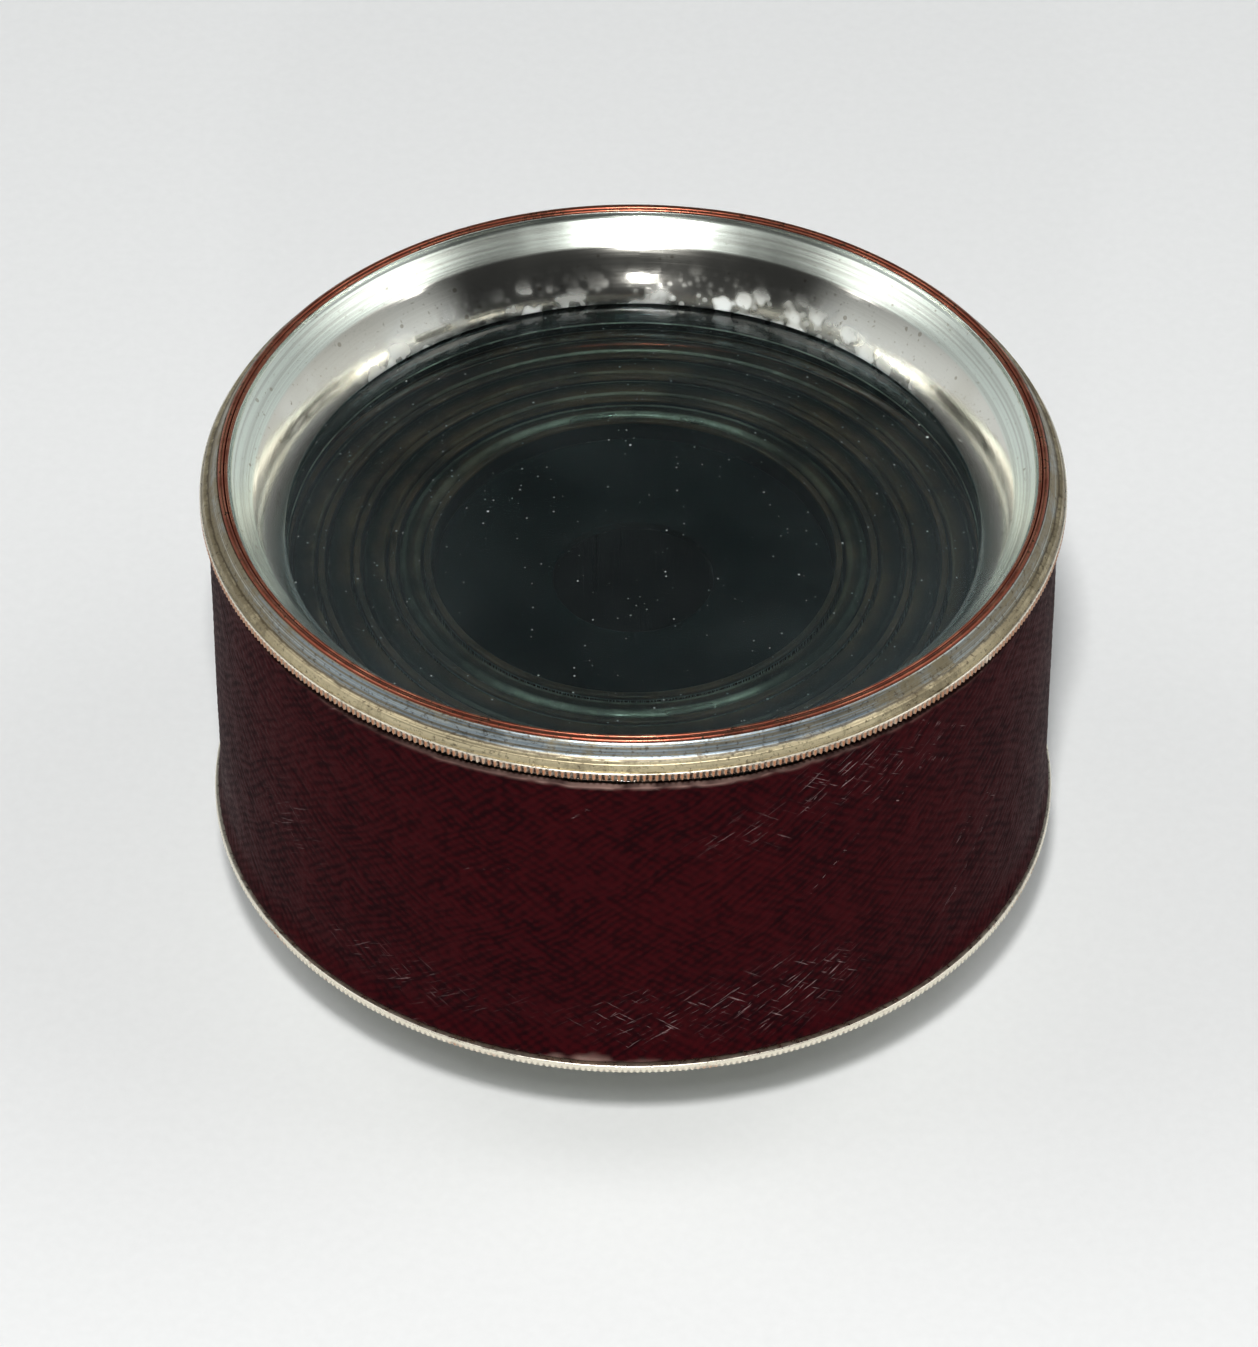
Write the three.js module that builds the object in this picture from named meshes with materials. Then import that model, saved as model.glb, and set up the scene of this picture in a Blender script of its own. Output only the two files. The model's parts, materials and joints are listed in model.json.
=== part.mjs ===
// Leather-covered drum magnifying glass with telescoping draw tubes, closed.
// Millimetres, +Z up. The glass stands on the rim of its eye cup: the origin is the
// middle of that rim, on the table, and +Z runs along the optical axis to the big lens.
import * as THREE from "three";

// ---- driving dimensions ----------------------------------------------------
const SEGMENTS = 36; // facets round every turned piece
const GAP = 0.3; // clearance between neighbouring pieces

const DRUM_RADIUS = 38; // outer radius of both milled rings
const DRUM_BASE = 13; // underside of the rear ring above the table
const DRUM_TOP = 48.4; // upper face of the bezel's milled ring
const RING_THICKNESS = 0.8; // rear milled ring
const FLANGE_THICKNESS = 0.9; // front milled ring
const TUBE_RADIUS = 36.4; // barrel tube, outside
const TUBE_WALL = 0.7;
const LEATHER_RADIUS = 37.43; // outside of the leather
const LEATHER_THICKNESS = 0.75;
const LEATHER_TOP = 46.3;

const SOCKET_OUTER = 35.4; // ferrules inside the barrel tube
const SOCKET_INNER = 34.6;
const FERRULE_BOTTOM = 41;
const FERRULE_RIM = 0.7; // height of the rim that shows above the leather
const FERRULE_OVERHANG = 0.1; // rim beyond the barrel tube
const REAR_SOCKET_DEPTH = 5;
const BUSH_PLATE = 1; // thickness of the rear bush's plate
const BUSH_WALL = 0.9;
const SPIGOT_OUTER = 34.3; // bezel spigot, in the front ferrule
const SPIGOT_INNER = 33.3;
const SPIGOT_BOTTOM = 38.4;
const NECK = 0.5; // bevel that stiffens the flange where it meets the spigot
const NECK_HEIGHT = 0.6;
const RING_BEVEL = 1.7; // inner bevel of the bezel ring, which clears the dish
const RING_BEVEL_HEIGHT = 1.5;

const LIP_TOP = 50.7;
const LIP_INNER = 35.3;
const LIP_OUTER = 36.7;
const LIP_THICKNESS = 0.5;
const LIP_ROLL = 0.2; // bevel of the lip's two top edges
const COVE_INNER = 36.2; // inside of the cove band
const COVE_FOOT = [37.6, 49.05]; // the cove's curve, from its foot
const COVE_BEND = [36.9, 49.2];
const COVE_HEAD = 36.8;
const COVE_OUTER = 37.7;
const DISH_OUTER = 35.8; // edge of the collar, under the lip
const DISH_EDGE = 35.35; // top of the bright slope
const DISH_STEP = [33.4, 48.2]; // line where the outer slope meets the inner curve
const DISH_BEND = [31.2, 45.7];
const DISH_FOOT = [30.6, 43.5]; // edge of the clear lens
const DISH_WALL = 0.5;
const SEAT_THICKNESS = 0.6;

const LENS_RADIUS = 31.7;
const LENS_TOP_EDGE = DISH_FOOT[1] - GAP;
const FRONT_LENS_EDGE = 1.5; // thickness at the rim
const FRONT_LENS_RISE = 1.3; // height of the upper dome
const CEMENT_RISE = 0.7; // depth of the curve between the two lenses
const REAR_LENS_EDGE = 1.5;
const RETAINER_THICKNESS = 1.0;
const RETAINER_INNER = 30.3;

const DRAW_COUNT = 5; // the last one carries the eyepiece
const DRAW_RADIUS = 30.7; // outside of the largest draw tube
const DRAW_STEP = 3.1; // each draw is this much smaller in radius
const DRAW_WALL = 0.6;
const DRAW_TOP = 38; // front rims of all draws when closed
const STOP_HEIGHT = 1.6;
const STOP_OUTER_FIRST = 33.5; // the first stop ring slides in the barrel itself
const COLLAR_THICKNESS = 1.6;
const COLLAR_OVERHANG = 1.6; // collar beyond its own tube
const SLEEVE_HEIGHT = 4; // guide sleeve above a collar

const EYE_HOLE = 4;
const EYE_HOLE_RIM = 2.4; // height of the eye hole's edge
const EYE_DISH = [9, 1.7]; // the hollow face turns up here
const EYE_RIM_INNER = 14.5; // the flat rim that the glass stands on
const EYE_RIM_OUTER = 17;
const EYE_BEVEL = [18.4, 1.4];
const EYE_SHOULDER = 3.4;
const EYE_SPIGOT_WALL = 1.6;
const EYE_CELL_WALL = 1.2;
const EYE_CELL_TOP = 7.4;
const EYE_RING_INNER = 6.5;
const EYE_RING_THICKNESS = 0.9;
const EYE_LENS_RADIUS = 9.1;
const EYE_LENS_BASE = 3.9;
const EYE_LENS_EDGE = 1.7;
const EYE_LENS_HOLLOW = 0.5;
const FIELD_STOP_HOLE = 7;
const FIELD_STOP_THICKNESS = 0.8; // also how far its middle is dished
const FIELD_STOP_DEPTH = 2.6; // its edge below the front rim of the draw

// ---- materials -------------------------------------------------------------
function material(color, roughness, metalness) {
  return () => new THREE.MeshStandardMaterial({ color, roughness, metalness });
}
const silverPlate = material(0x9aa29a, 0.25, 1.0);
const copperEdge = material(0xb06a4a, 0.3, 1.0);
const leather = material(0x33090e, 0.55, 0.0);
const glass = material(0x26302b, 0.05, 0.1);
const blackLacquer = material(0x14140f, 0.6, 0.2);

// ---- turned pieces ---------------------------------------------------------
const part = new THREE.Group();

// Adds one turned piece. A profile is a list of [radius, height] that runs
// anticlockwise; one that starts off the axis is closed back onto its start.
function turn(name, makeMaterial, profile) {
  const onAxis = profile[0][0] === 0;
  const closed = onAxis ? profile : [...profile, profile[0]];
  const points = closed.map(([radius, height]) => new THREE.Vector2(radius, height));
  const geometry = new THREE.LatheGeometry(points, SEGMENTS);
  geometry.rotateX(Math.PI / 2);
  const mesh = new THREE.Mesh(geometry, makeMaterial());
  mesh.name = name;
  part.add(mesh);
}

function band(name, makeMaterial, inner, outer, bottom, top) {
  turn(name, makeMaterial, [
    [inner, bottom],
    [outer, bottom],
    [outer, top],
    [inner, top],
  ]);
}

// Points on a shallow dome from the rim to the axis, without the rim point.
function dome(rimRadius, rimHeight, rise, steps) {
  const points = [];
  for (let i = 1; i <= steps; i++) {
    const radius = rimRadius * (1 - i / steps);
    const share = 1 - (radius / rimRadius) ** 2;
    points.push([radius, rimHeight + rise * share]);
  }
  return points;
}

// Points between the ends of a quadratic curve, both ends included.
function bend(start, control, end, steps) {
  const curve = new THREE.QuadraticBezierCurve(
    new THREE.Vector2(...start),
    new THREE.Vector2(...control),
    new THREE.Vector2(...end),
  );
  return curve.getPoints(steps).map((point) => [point.x, point.y]);
}

// ---- barrel ----------------------------------------------------------------
function barrel() {
  const tubeInner = TUBE_RADIUS - TUBE_WALL;
  const coveredFrom = DRUM_BASE + RING_THICKNESS + GAP;
  const rimTop = DRUM_TOP - FLANGE_THICKNESS - GAP;
  const rimBottom = rimTop - FERRULE_RIM;
  const rimOuter = TUBE_RADIUS + FERRULE_OVERHANG;
  band("barrel_tube", silverPlate, tubeInner, TUBE_RADIUS, coveredFrom, rimBottom - GAP);
  band(
    "leather_cover", leather,
    LEATHER_RADIUS - LEATHER_THICKNESS, LEATHER_RADIUS, coveredFrom, LEATHER_TOP,
  );
  turn("front_ferrule", silverPlate, [
    [SOCKET_INNER, FERRULE_BOTTOM],
    [SOCKET_OUTER, FERRULE_BOTTOM],
    [SOCKET_OUTER, rimBottom],
    [rimOuter, rimBottom],
    [rimOuter, rimTop],
    [SOCKET_INNER + NECK, rimTop],
    [SOCKET_INNER, rimTop - NECK_HEIGHT],
  ]);
  turn("rear_ring", silverPlate, [
    [SOCKET_INNER, DRUM_BASE],
    [DRUM_RADIUS, DRUM_BASE],
    [DRUM_RADIUS, DRUM_BASE + RING_THICKNESS],
    [SOCKET_OUTER, DRUM_BASE + RING_THICKNESS],
    [SOCKET_OUTER, DRUM_BASE + REAR_SOCKET_DEPTH],
    [SOCKET_INNER, DRUM_BASE + REAR_SOCKET_DEPTH],
  ]);
  const bore = DRAW_RADIUS + GAP;
  turn("rear_bush", silverPlate, [
    [bore, DRUM_BASE],
    [SOCKET_INNER - GAP, DRUM_BASE],
    [SOCKET_INNER - GAP, DRUM_BASE + BUSH_PLATE],
    [bore + BUSH_WALL, DRUM_BASE + BUSH_PLATE],
    [bore + BUSH_WALL, DRUM_BASE + SLEEVE_HEIGHT],
    [bore, DRUM_BASE + SLEEVE_HEIGHT],
  ]);
}

// ---- screwed bezel that holds the big lens ---------------------------------
function bezel() {
  const flangeBottom = DRUM_TOP - FLANGE_THICKNESS;
  turn("bezel_ring", silverPlate, [
    [SPIGOT_INNER, SPIGOT_BOTTOM],
    [SPIGOT_OUTER, SPIGOT_BOTTOM],
    [SPIGOT_OUTER, flangeBottom - NECK_HEIGHT],
    [SPIGOT_OUTER + NECK, flangeBottom],
    [DRUM_RADIUS, flangeBottom],
    [DRUM_RADIUS, DRUM_TOP],
    [SPIGOT_INNER + RING_BEVEL, DRUM_TOP],
    [SPIGOT_INNER, DRUM_TOP - RING_BEVEL_HEIGHT],
  ]);

  const coveBottom = DRUM_TOP + GAP;
  const coveTop = LIP_TOP - LIP_THICKNESS - GAP;
  turn("bezel_cove", silverPlate, [
    [COVE_INNER, coveBottom],
    [COVE_OUTER, coveBottom],
    ...bend(COVE_FOOT, COVE_BEND, [COVE_HEAD, coveTop], 3),
    [COVE_INNER, coveTop],
  ]);

  const lipBottom = LIP_TOP - LIP_THICKNESS;
  turn("lip_ring", copperEdge, [
    [LIP_INNER, lipBottom],
    [LIP_OUTER, lipBottom],
    [LIP_OUTER, LIP_TOP - LIP_ROLL],
    [LIP_OUTER - LIP_ROLL, LIP_TOP],
    [LIP_INNER + LIP_ROLL, LIP_TOP],
    [LIP_INNER, LIP_TOP - LIP_ROLL],
  ]);

  // The underside follows the bright face, a wall's thickness behind it.
  const slant = DISH_WALL * Math.SQRT1_2;
  const behind = ([radius, height]) => [radius + slant, height - slant];
  const seatOuter = SPIGOT_INNER - GAP;
  const seatTop = DISH_FOOT[1] + SEAT_THICKNESS;
  const edgeTop = lipBottom - GAP;
  turn("dish_collar", silverPlate, [
    [seatOuter, DISH_FOOT[1]],
    [seatOuter, seatTop],
    ...bend([DISH_FOOT[0] + SEAT_THICKNESS, seatTop], behind(DISH_BEND), behind(DISH_STEP), 4),
    [DISH_OUTER, edgeTop - DISH_WALL],
    [DISH_OUTER, edgeTop],
    [DISH_EDGE, edgeTop],
    ...bend(DISH_STEP, DISH_BEND, DISH_FOOT, 5),
  ]);

  const retainerTop = LENS_TOP_EDGE - FRONT_LENS_EDGE - REAR_LENS_EDGE - 2 * GAP;
  band(
    "lens_retainer", blackLacquer,
    RETAINER_INNER, seatOuter, retainerTop - RETAINER_THICKNESS, retainerTop,
  );
}

// ---- big lens, in two elements ---------------------------------------------
function objective() {
  const frontBottom = LENS_TOP_EDGE - FRONT_LENS_EDGE;
  const lowerDome = dome(LENS_RADIUS, frontBottom, -CEMENT_RISE, 4).reverse();
  turn("front_lens", glass, [
    ...lowerDome,
    [LENS_RADIUS, frontBottom],
    [LENS_RADIUS, LENS_TOP_EDGE],
    ...dome(LENS_RADIUS, LENS_TOP_EDGE, FRONT_LENS_RISE, 6),
  ]);

  const rearTop = frontBottom - GAP;
  turn("rear_lens", glass, [
    [0, rearTop - REAR_LENS_EDGE],
    [LENS_RADIUS, rearTop - REAR_LENS_EDGE],
    [LENS_RADIUS, rearTop],
    ...dome(LENS_RADIUS, rearTop, -CEMENT_RISE, 4),
  ]);
}

// ---- draw tubes ------------------------------------------------------------
const drawRadius = (number) => DRAW_RADIUS - DRAW_STEP * (number - 1);
const collarTop = (number) => DRUM_BASE - GAP - (COLLAR_THICKNESS + GAP) * (number - 1);

function drawTube(number) {
  const radius = drawRadius(number);
  const stopOuter = number === 1 ? STOP_OUTER_FIRST : radius + DRAW_STEP - DRAW_WALL - GAP;
  band(
    `draw_${number}_tube`, silverPlate,
    radius - DRAW_WALL, radius, collarTop(number) + GAP, DRAW_TOP,
  );
  band(
    `draw_${number}_stop_ring`, blackLacquer,
    radius + GAP, stopOuter, DRAW_TOP - STOP_HEIGHT, DRAW_TOP,
  );
}

function drawCollar(number) {
  const radius = drawRadius(number);
  const bore = drawRadius(number + 1) + GAP;
  const top = collarTop(number);
  const bottom = top - COLLAR_THICKNESS;
  const sleeveOuter = radius - DRAW_WALL - GAP;
  turn(`draw_${number}_collar`, silverPlate, [
    [bore, bottom],
    [radius + COLLAR_OVERHANG, bottom],
    [radius + COLLAR_OVERHANG, top],
    [sleeveOuter, top],
    [sleeveOuter, top + SLEEVE_HEIGHT],
    [bore, top + SLEEVE_HEIGHT],
  ]);
}

// ---- eyepiece, on the smallest draw ----------------------------------------
function eyepiece() {
  const tubeRadius = drawRadius(DRAW_COUNT);
  const cupTop = collarTop(DRAW_COUNT);
  const spigotOuter = tubeRadius - DRAW_WALL - GAP;
  const plateTop = EYE_LENS_BASE - GAP;
  const cellInner = EYE_LENS_RADIUS + GAP;
  turn("eye_cup", silverPlate, [
    [EYE_HOLE, EYE_HOLE_RIM],
    EYE_DISH,
    [EYE_RIM_INNER, 0],
    [EYE_RIM_OUTER, 0],
    EYE_BEVEL,
    [tubeRadius + COLLAR_OVERHANG, EYE_SHOULDER],
    [tubeRadius + COLLAR_OVERHANG, cupTop],
    [spigotOuter, cupTop],
    [spigotOuter, cupTop + SLEEVE_HEIGHT],
    [spigotOuter - EYE_SPIGOT_WALL, cupTop + SLEEVE_HEIGHT],
    [spigotOuter - EYE_SPIGOT_WALL, plateTop],
    [cellInner + EYE_CELL_WALL, plateTop],
    [cellInner + EYE_CELL_WALL, EYE_CELL_TOP],
    [cellInner, EYE_CELL_TOP],
    [cellInner, plateTop],
    [EYE_HOLE, plateTop],
  ]);

  const lensTop = EYE_LENS_BASE + EYE_LENS_EDGE;
  turn("eye_lens", glass, [
    [0, EYE_LENS_BASE],
    [EYE_LENS_RADIUS, EYE_LENS_BASE],
    [EYE_LENS_RADIUS, lensTop],
    ...dome(EYE_LENS_RADIUS, lensTop, -EYE_LENS_HOLLOW, 3),
  ]);
  const ringBottom = lensTop + GAP;
  band(
    "eye_lens_ring", blackLacquer,
    EYE_RING_INNER, EYE_LENS_RADIUS, ringBottom, ringBottom + EYE_RING_THICKNESS,
  );

  const stopHeight = DRAW_TOP - FIELD_STOP_DEPTH;
  turn("field_stop", blackLacquer, [
    [FIELD_STOP_HOLE, stopHeight - FIELD_STOP_THICKNESS],
    [spigotOuter, stopHeight],
    [spigotOuter, stopHeight + FIELD_STOP_THICKNESS],
    [FIELD_STOP_HOLE, stopHeight],
  ]);
}

barrel();
bezel();
objective();
for (let number = 1; number <= DRAW_COUNT; number++) {
  drawTube(number);
  if (number < DRAW_COUNT) drawCollar(number);
}
eyepiece();

export default part;
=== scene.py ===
"""Looks for the leather-covered drum magnifying glass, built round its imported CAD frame.

Every piece is turned afresh at high resolution from the section of its own CAD node,
with rounded edges, milled teeth, leather grain and procedural finishes. Lengths in the
geometry helpers are millimetres, like the CAD; MM turns them into scene metres.
"""

import json
import math

import bpy
import numpy as np
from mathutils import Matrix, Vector


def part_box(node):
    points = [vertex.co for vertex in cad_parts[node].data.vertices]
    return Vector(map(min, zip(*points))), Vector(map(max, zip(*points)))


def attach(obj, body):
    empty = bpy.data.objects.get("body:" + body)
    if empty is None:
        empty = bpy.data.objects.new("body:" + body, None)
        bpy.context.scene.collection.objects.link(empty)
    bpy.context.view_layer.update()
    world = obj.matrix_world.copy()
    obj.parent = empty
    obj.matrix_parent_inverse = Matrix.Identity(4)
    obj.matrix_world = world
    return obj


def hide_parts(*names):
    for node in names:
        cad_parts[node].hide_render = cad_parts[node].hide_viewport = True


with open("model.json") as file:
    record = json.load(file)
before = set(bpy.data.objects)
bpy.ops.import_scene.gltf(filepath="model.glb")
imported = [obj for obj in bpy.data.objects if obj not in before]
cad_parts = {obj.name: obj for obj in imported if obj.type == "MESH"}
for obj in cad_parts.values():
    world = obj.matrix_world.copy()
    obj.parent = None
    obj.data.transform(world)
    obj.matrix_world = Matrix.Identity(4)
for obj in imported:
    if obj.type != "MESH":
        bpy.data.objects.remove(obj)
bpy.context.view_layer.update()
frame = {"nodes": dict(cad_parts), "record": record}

MM = 0.001
STEPS = 288  # facets round an ordinary turned piece
TEETH = 450  # milled teeth round each drum ring
TOOTH_STEPS = 6  # facets round one tooth and its groove
LENS_STEPS = 40  # points along a lens surface, axis to rim
SAME_PLACE = 0.01  # millimetres: points of a section closer than this coincide
SEAM_ANGLE = math.radians(152)  # where the leather's ends meet, counted from the front
UNWRAP = 235.0  # millimetres of surface that one unit of unwrapped coordinate stands for

BODY_OF = {
    node: body
    for body, nodes in frame["record"]["behaviour"]["bodies"].items()
    for node in nodes
}


# ---- camera, floor and light -----------------------------------------------------

DRUM_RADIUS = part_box("bezel_ring")[1].x
DRUM_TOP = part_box("bezel_ring")[1].z
CAMERA_ELEVATION = 40.35  # degrees above the table
CAMERA_DISTANCE = 15.97  # in drum radii, from the middle of the drum's top
CAMERA_ASIDE = 0.211  # in drum radii, to the right
LOOKED_AT = (-0.009, -0.05, -0.555)  # in drum radii, from the middle of the drum's top
DAYLIGHT = (0.93, 0.97, 1.0, 1)
PAPER_GREY = (0.66, 0.66, 0.65, 1)
PAPER_PALE = (0.71, 0.71, 0.70, 1)


def make_camera():
    """The photograph's view: 40 degrees above the table, about 16 drum radii away."""
    distance = CAMERA_DISTANCE * DRUM_RADIUS
    elevation = math.radians(CAMERA_ELEVATION)
    eye = Vector((
        CAMERA_ASIDE * DRUM_RADIUS,
        -distance * math.cos(elevation),
        DRUM_TOP + distance * math.sin(elevation),
    ))
    target = Vector(LOOKED_AT) * DRUM_RADIUS + Vector((0, 0, DRUM_TOP))
    data = bpy.data.cameras.new("camera")
    data.sensor_width = 36
    data.lens = 185
    data.clip_start = 0.01
    camera = bpy.data.objects.new("camera", data)
    camera.location = eye
    camera.rotation_mode = "QUATERNION"
    camera.rotation_quaternion = (target - eye).to_track_quat("-Z", "Y")
    bpy.context.scene.collection.objects.link(camera)
    bpy.context.scene.camera = camera


def direction(azimuth, elevation):
    """The way to a light, in degrees. Azimuth 0 is the camera's side."""
    turn, lift = math.radians(azimuth), math.radians(elevation)
    return Vector((
        math.sin(turn) * math.cos(lift),
        -math.cos(turn) * math.cos(lift),
        math.sin(lift),
    ))


def add_area_light(name, azimuth, elevation, distance, size, power):
    """A square soft light aimed at the drum."""
    data = bpy.data.lights.new(name, "AREA")
    data.size = size
    data.energy = power
    light = bpy.data.objects.new(name, data)
    away = direction(azimuth, elevation)
    light.location = away * distance + Vector((0, 0, DRUM_TOP / 2))
    light.rotation_mode = "QUATERNION"
    light.rotation_quaternion = (-away).to_track_quat("-Z", "Y")
    bpy.context.scene.collection.objects.link(light)


def make_studio():
    """A small key lamp over the camera, a soft lamp at each side, and a soft tent."""
    azimuth, elevation = -1, 53
    add_area_light("key", azimuth, elevation, distance=0.75, size=0.045, power=4.2)
    add_area_light("glint", azimuth, 25, distance=0.7, size=0.03, power=0.35)
    add_area_light("left_soft", -88, 52, distance=0.8, size=0.45, power=1.2)
    add_area_light("right_soft", 88, 52, distance=0.8, size=0.45, power=1.3)
    make_tent(direction(azimuth, elevation))


def make_tent(towards_key):
    """The world: bright low down at both sides, dark in front of and behind the drum."""
    world = bpy.data.worlds.new("studio")
    world.use_nodes = True
    bpy.context.scene.world = world
    sky = Graph(world.node_tree)
    towards = sky.node("TexCoord").outputs["Generated"]
    apart = sky.node("SeparateXYZ")
    sky.feed(apart.inputs[0], towards)
    aside = sky.math("ABSOLUTE", apart.outputs[0])
    leaning = sky.plus(aside, sky.times(apart.outputs[1], 0.47))
    sides = sky.span(leaning, 0.42, 0.68)
    glow = sky.times(sides, sky.span(apart.outputs[2], 0.65, 0.15, 0.30, 0.75))
    # The key light again, as a disc of sky, so that it also reaches through the lenses.
    facing = sky.node("VectorMath", operation="DOT_PRODUCT")
    sky.feed(facing.inputs[0], towards)
    facing.inputs[1].default_value = towards_key
    rim, core = math.cos(math.radians(6)), math.cos(math.radians(3))
    disc = sky.span(facing.outputs["Value"], rim, core, 0.0, 40.0)
    faint = 0.03
    background = world.node_tree.nodes["Background"]
    background.inputs["Color"].default_value = DAYLIGHT
    sky.feed(background.inputs["Strength"], sky.plus(sky.plus(glow, disc), faint))
    bpy.context.scene.view_settings.view_transform = "Standard"


def make_floor():
    """A sheet of pale paper, a hair under the eye cup so that the faces don't coincide."""
    mesh = bpy.data.meshes.new("floor")
    half = 1.5
    corners = [(-half, -half, 0), (half, -half, 0), (half, half, 0), (-half, half, 0)]
    mesh.from_pydata(corners, [], [(0, 1, 2, 3)])
    floor = bpy.data.objects.new("floor", mesh)
    floor.location.z = -0.02 * MM
    bpy.context.scene.collection.objects.link(floor)
    finish = Finish("floor_paper")
    paper = finish.noise(finish.object_space(), 900, detail=3)
    finish.set("Base Color", finish.mix(paper, PAPER_GREY, PAPER_PALE))
    finish.set("Roughness", 0.85)
    finish.bump(paper, strength=0.1, depth=0.05)
    mesh.materials.append(finish.material)


# ---- node graphs -------------------------------------------------------------------

class Graph:
    """Adds nodes to a tree. Values may be sockets or constants."""

    def __init__(self, tree):
        self.tree = tree

    def feed(self, socket, value):
        if isinstance(value, bpy.types.NodeSocket):
            self.tree.links.new(value, socket)
        else:
            socket.default_value = value

    def node(self, kind, **settings):
        made = self.tree.nodes.new("ShaderNode" + kind)
        for key, value in settings.items():
            setattr(made, key, value)
        return made

    def math(self, operation, first, second=0.0):
        made = self.node("Math", operation=operation)
        self.feed(made.inputs[0], first)
        self.feed(made.inputs[1], second)
        return made.outputs[0]

    def times(self, first, second):
        return self.math("MULTIPLY", first, second)

    def plus(self, first, second):
        return self.math("ADD", first, second)

    def span(self, value, low, high, to_low=0.0, to_high=1.0):
        """Maps low..high smoothly onto to_low..to_high, and holds outside it."""
        made = self.node("MapRange", interpolation_type="SMOOTHSTEP")
        for socket, fed in zip(made.inputs, (value, low, high, to_low, to_high)):
            self.feed(socket, fed)
        return made.outputs[0]

    def band(self, value, middle, half_width):
        """One at the middle, falling smoothly to nothing a half width away."""
        away = self.math("ABSOLUTE", self.math("SUBTRACT", value, middle))
        return self.span(away, 0.0, half_width, 1.0, 0.0)


class Finish(Graph):
    """Builds one node material round a Principled shader."""

    def __init__(self, name):
        self.material = bpy.data.materials.new(name)
        self.material.use_nodes = True
        super().__init__(self.material.node_tree)
        self.shader = self.tree.nodes["Principled BSDF"]

    def set(self, name, value):
        self.feed(self.shader.inputs[name], value)

    def mix(self, share, first, second):
        made = self.node("Mix", data_type="RGBA")
        self.feed(made.inputs[0], share)
        self.feed(made.inputs[6], first)
        self.feed(made.inputs[7], second)
        return made.outputs[2]

    def attribute(self, name):
        return self.node("Attribute", attribute_name=name).outputs["Fac"]

    def object_space(self):
        return self.node("TexCoord").outputs["Object"]

    def unwrapped(self):
        """The unwrapped surface in millimetres: x runs round the drum, y up it."""
        return self.scaled(self.node("TexCoord").outputs["UV"], (UNWRAP, UNWRAP, 0))

    def scaled(self, vector, scale):
        made = self.node("VectorMath", operation="MULTIPLY")
        self.feed(made.inputs[0], vector)
        made.inputs[1].default_value = scale
        return made.outputs[0]

    def slanted(self, vector, degrees, along, across):
        """Turns flat coordinates by an angle and stretches them into strokes."""
        angle = math.radians(degrees)
        parts = []
        for x, y, size in (
            (math.cos(angle), math.sin(angle), along),
            (-math.sin(angle), math.cos(angle), across),
        ):
            made = self.node("VectorMath", operation="DOT_PRODUCT")
            self.feed(made.inputs[0], vector)
            made.inputs[1].default_value = (x / size, y / size, 0)
            parts.append(made.outputs["Value"])
        return self.together(parts[0], parts[1], 0.0)

    def noise(self, vector, scale, detail=4.0, roughness=0.55):
        made = self.node("TexNoise")
        self.feed(made.inputs["Vector"], vector)
        made.inputs["Scale"].default_value = scale
        made.inputs["Detail"].default_value = detail
        made.inputs["Roughness"].default_value = roughness
        return made.outputs[0]

    def dots(self, vector, scale, size, share):
        """Small round specks, one in some of the cells: size in cells, share of cells."""
        made = self.node("TexVoronoi", feature="F1")
        self.feed(made.inputs["Vector"], vector)
        made.inputs["Scale"].default_value = scale
        apart = self.node("SeparateXYZ")
        self.feed(apart.inputs[0], made.outputs["Color"])
        wide = self.times(apart.outputs[0], size)
        inside = self.math("LESS_THAN", made.outputs["Distance"], wide)
        return self.times(inside, self.math("LESS_THAN", apart.outputs[1], share))

    def lumps(self, vector, scale):
        """Rounded cottony lumps, 1 on their crests."""
        made = self.node("TexVoronoi", feature="SMOOTH_F1")
        self.feed(made.inputs["Vector"], vector)
        made.inputs["Scale"].default_value = scale
        made.inputs["Smoothness"].default_value = 0.5
        return self.span(made.outputs["Distance"], 0.65, 0.10)

    def polar(self):
        """Radius in metres, angle in turns from the front, and height in metres."""
        apart = self.node("SeparateXYZ")
        self.feed(apart.inputs[0], self.object_space())
        x, y, height = apart.outputs
        radius = self.math("SQRT", self.plus(self.times(x, x), self.times(y, y)))
        angle = self.math("ARCTAN2", x, self.times(y, -1.0))
        return radius, self.math("DIVIDE", angle, 2 * math.pi), height

    def frontness(self, angle):
        """1 at the front of the drum, 0 at its sides and -1 at its back."""
        return self.math("COSINE", self.times(angle, 2 * math.pi))

    def together(self, x, y, z):
        made = self.node("CombineXYZ")
        for socket, value in zip(made.inputs, (x, y, z)):
            self.feed(socket, value)
        return made.outputs[0]

    def turning_marks(self, scale=9000):
        """Fine rings from the lathe and from rubbing: a noise stretched round the axis."""
        radius, angle, height = self.polar()
        rings = self.together(radius, self.times(angle, 0.0006), height)
        return self.noise(rings, scale, detail=3, roughness=0.6)

    def bump(self, height, strength, depth):
        """Adds relief of that depth in mm on top of any earlier relief."""
        made = self.node("Bump")
        made.inputs["Strength"].default_value = strength
        made.inputs["Distance"].default_value = depth * MM
        self.feed(made.inputs["Height"], height)
        normal = self.shader.inputs["Normal"]
        if normal.links:
            self.tree.links.new(normal.links[0].from_socket, made.inputs["Normal"])
        self.tree.links.new(made.outputs[0], normal)


# ---- finishes ----------------------------------------------------------------------

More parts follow.
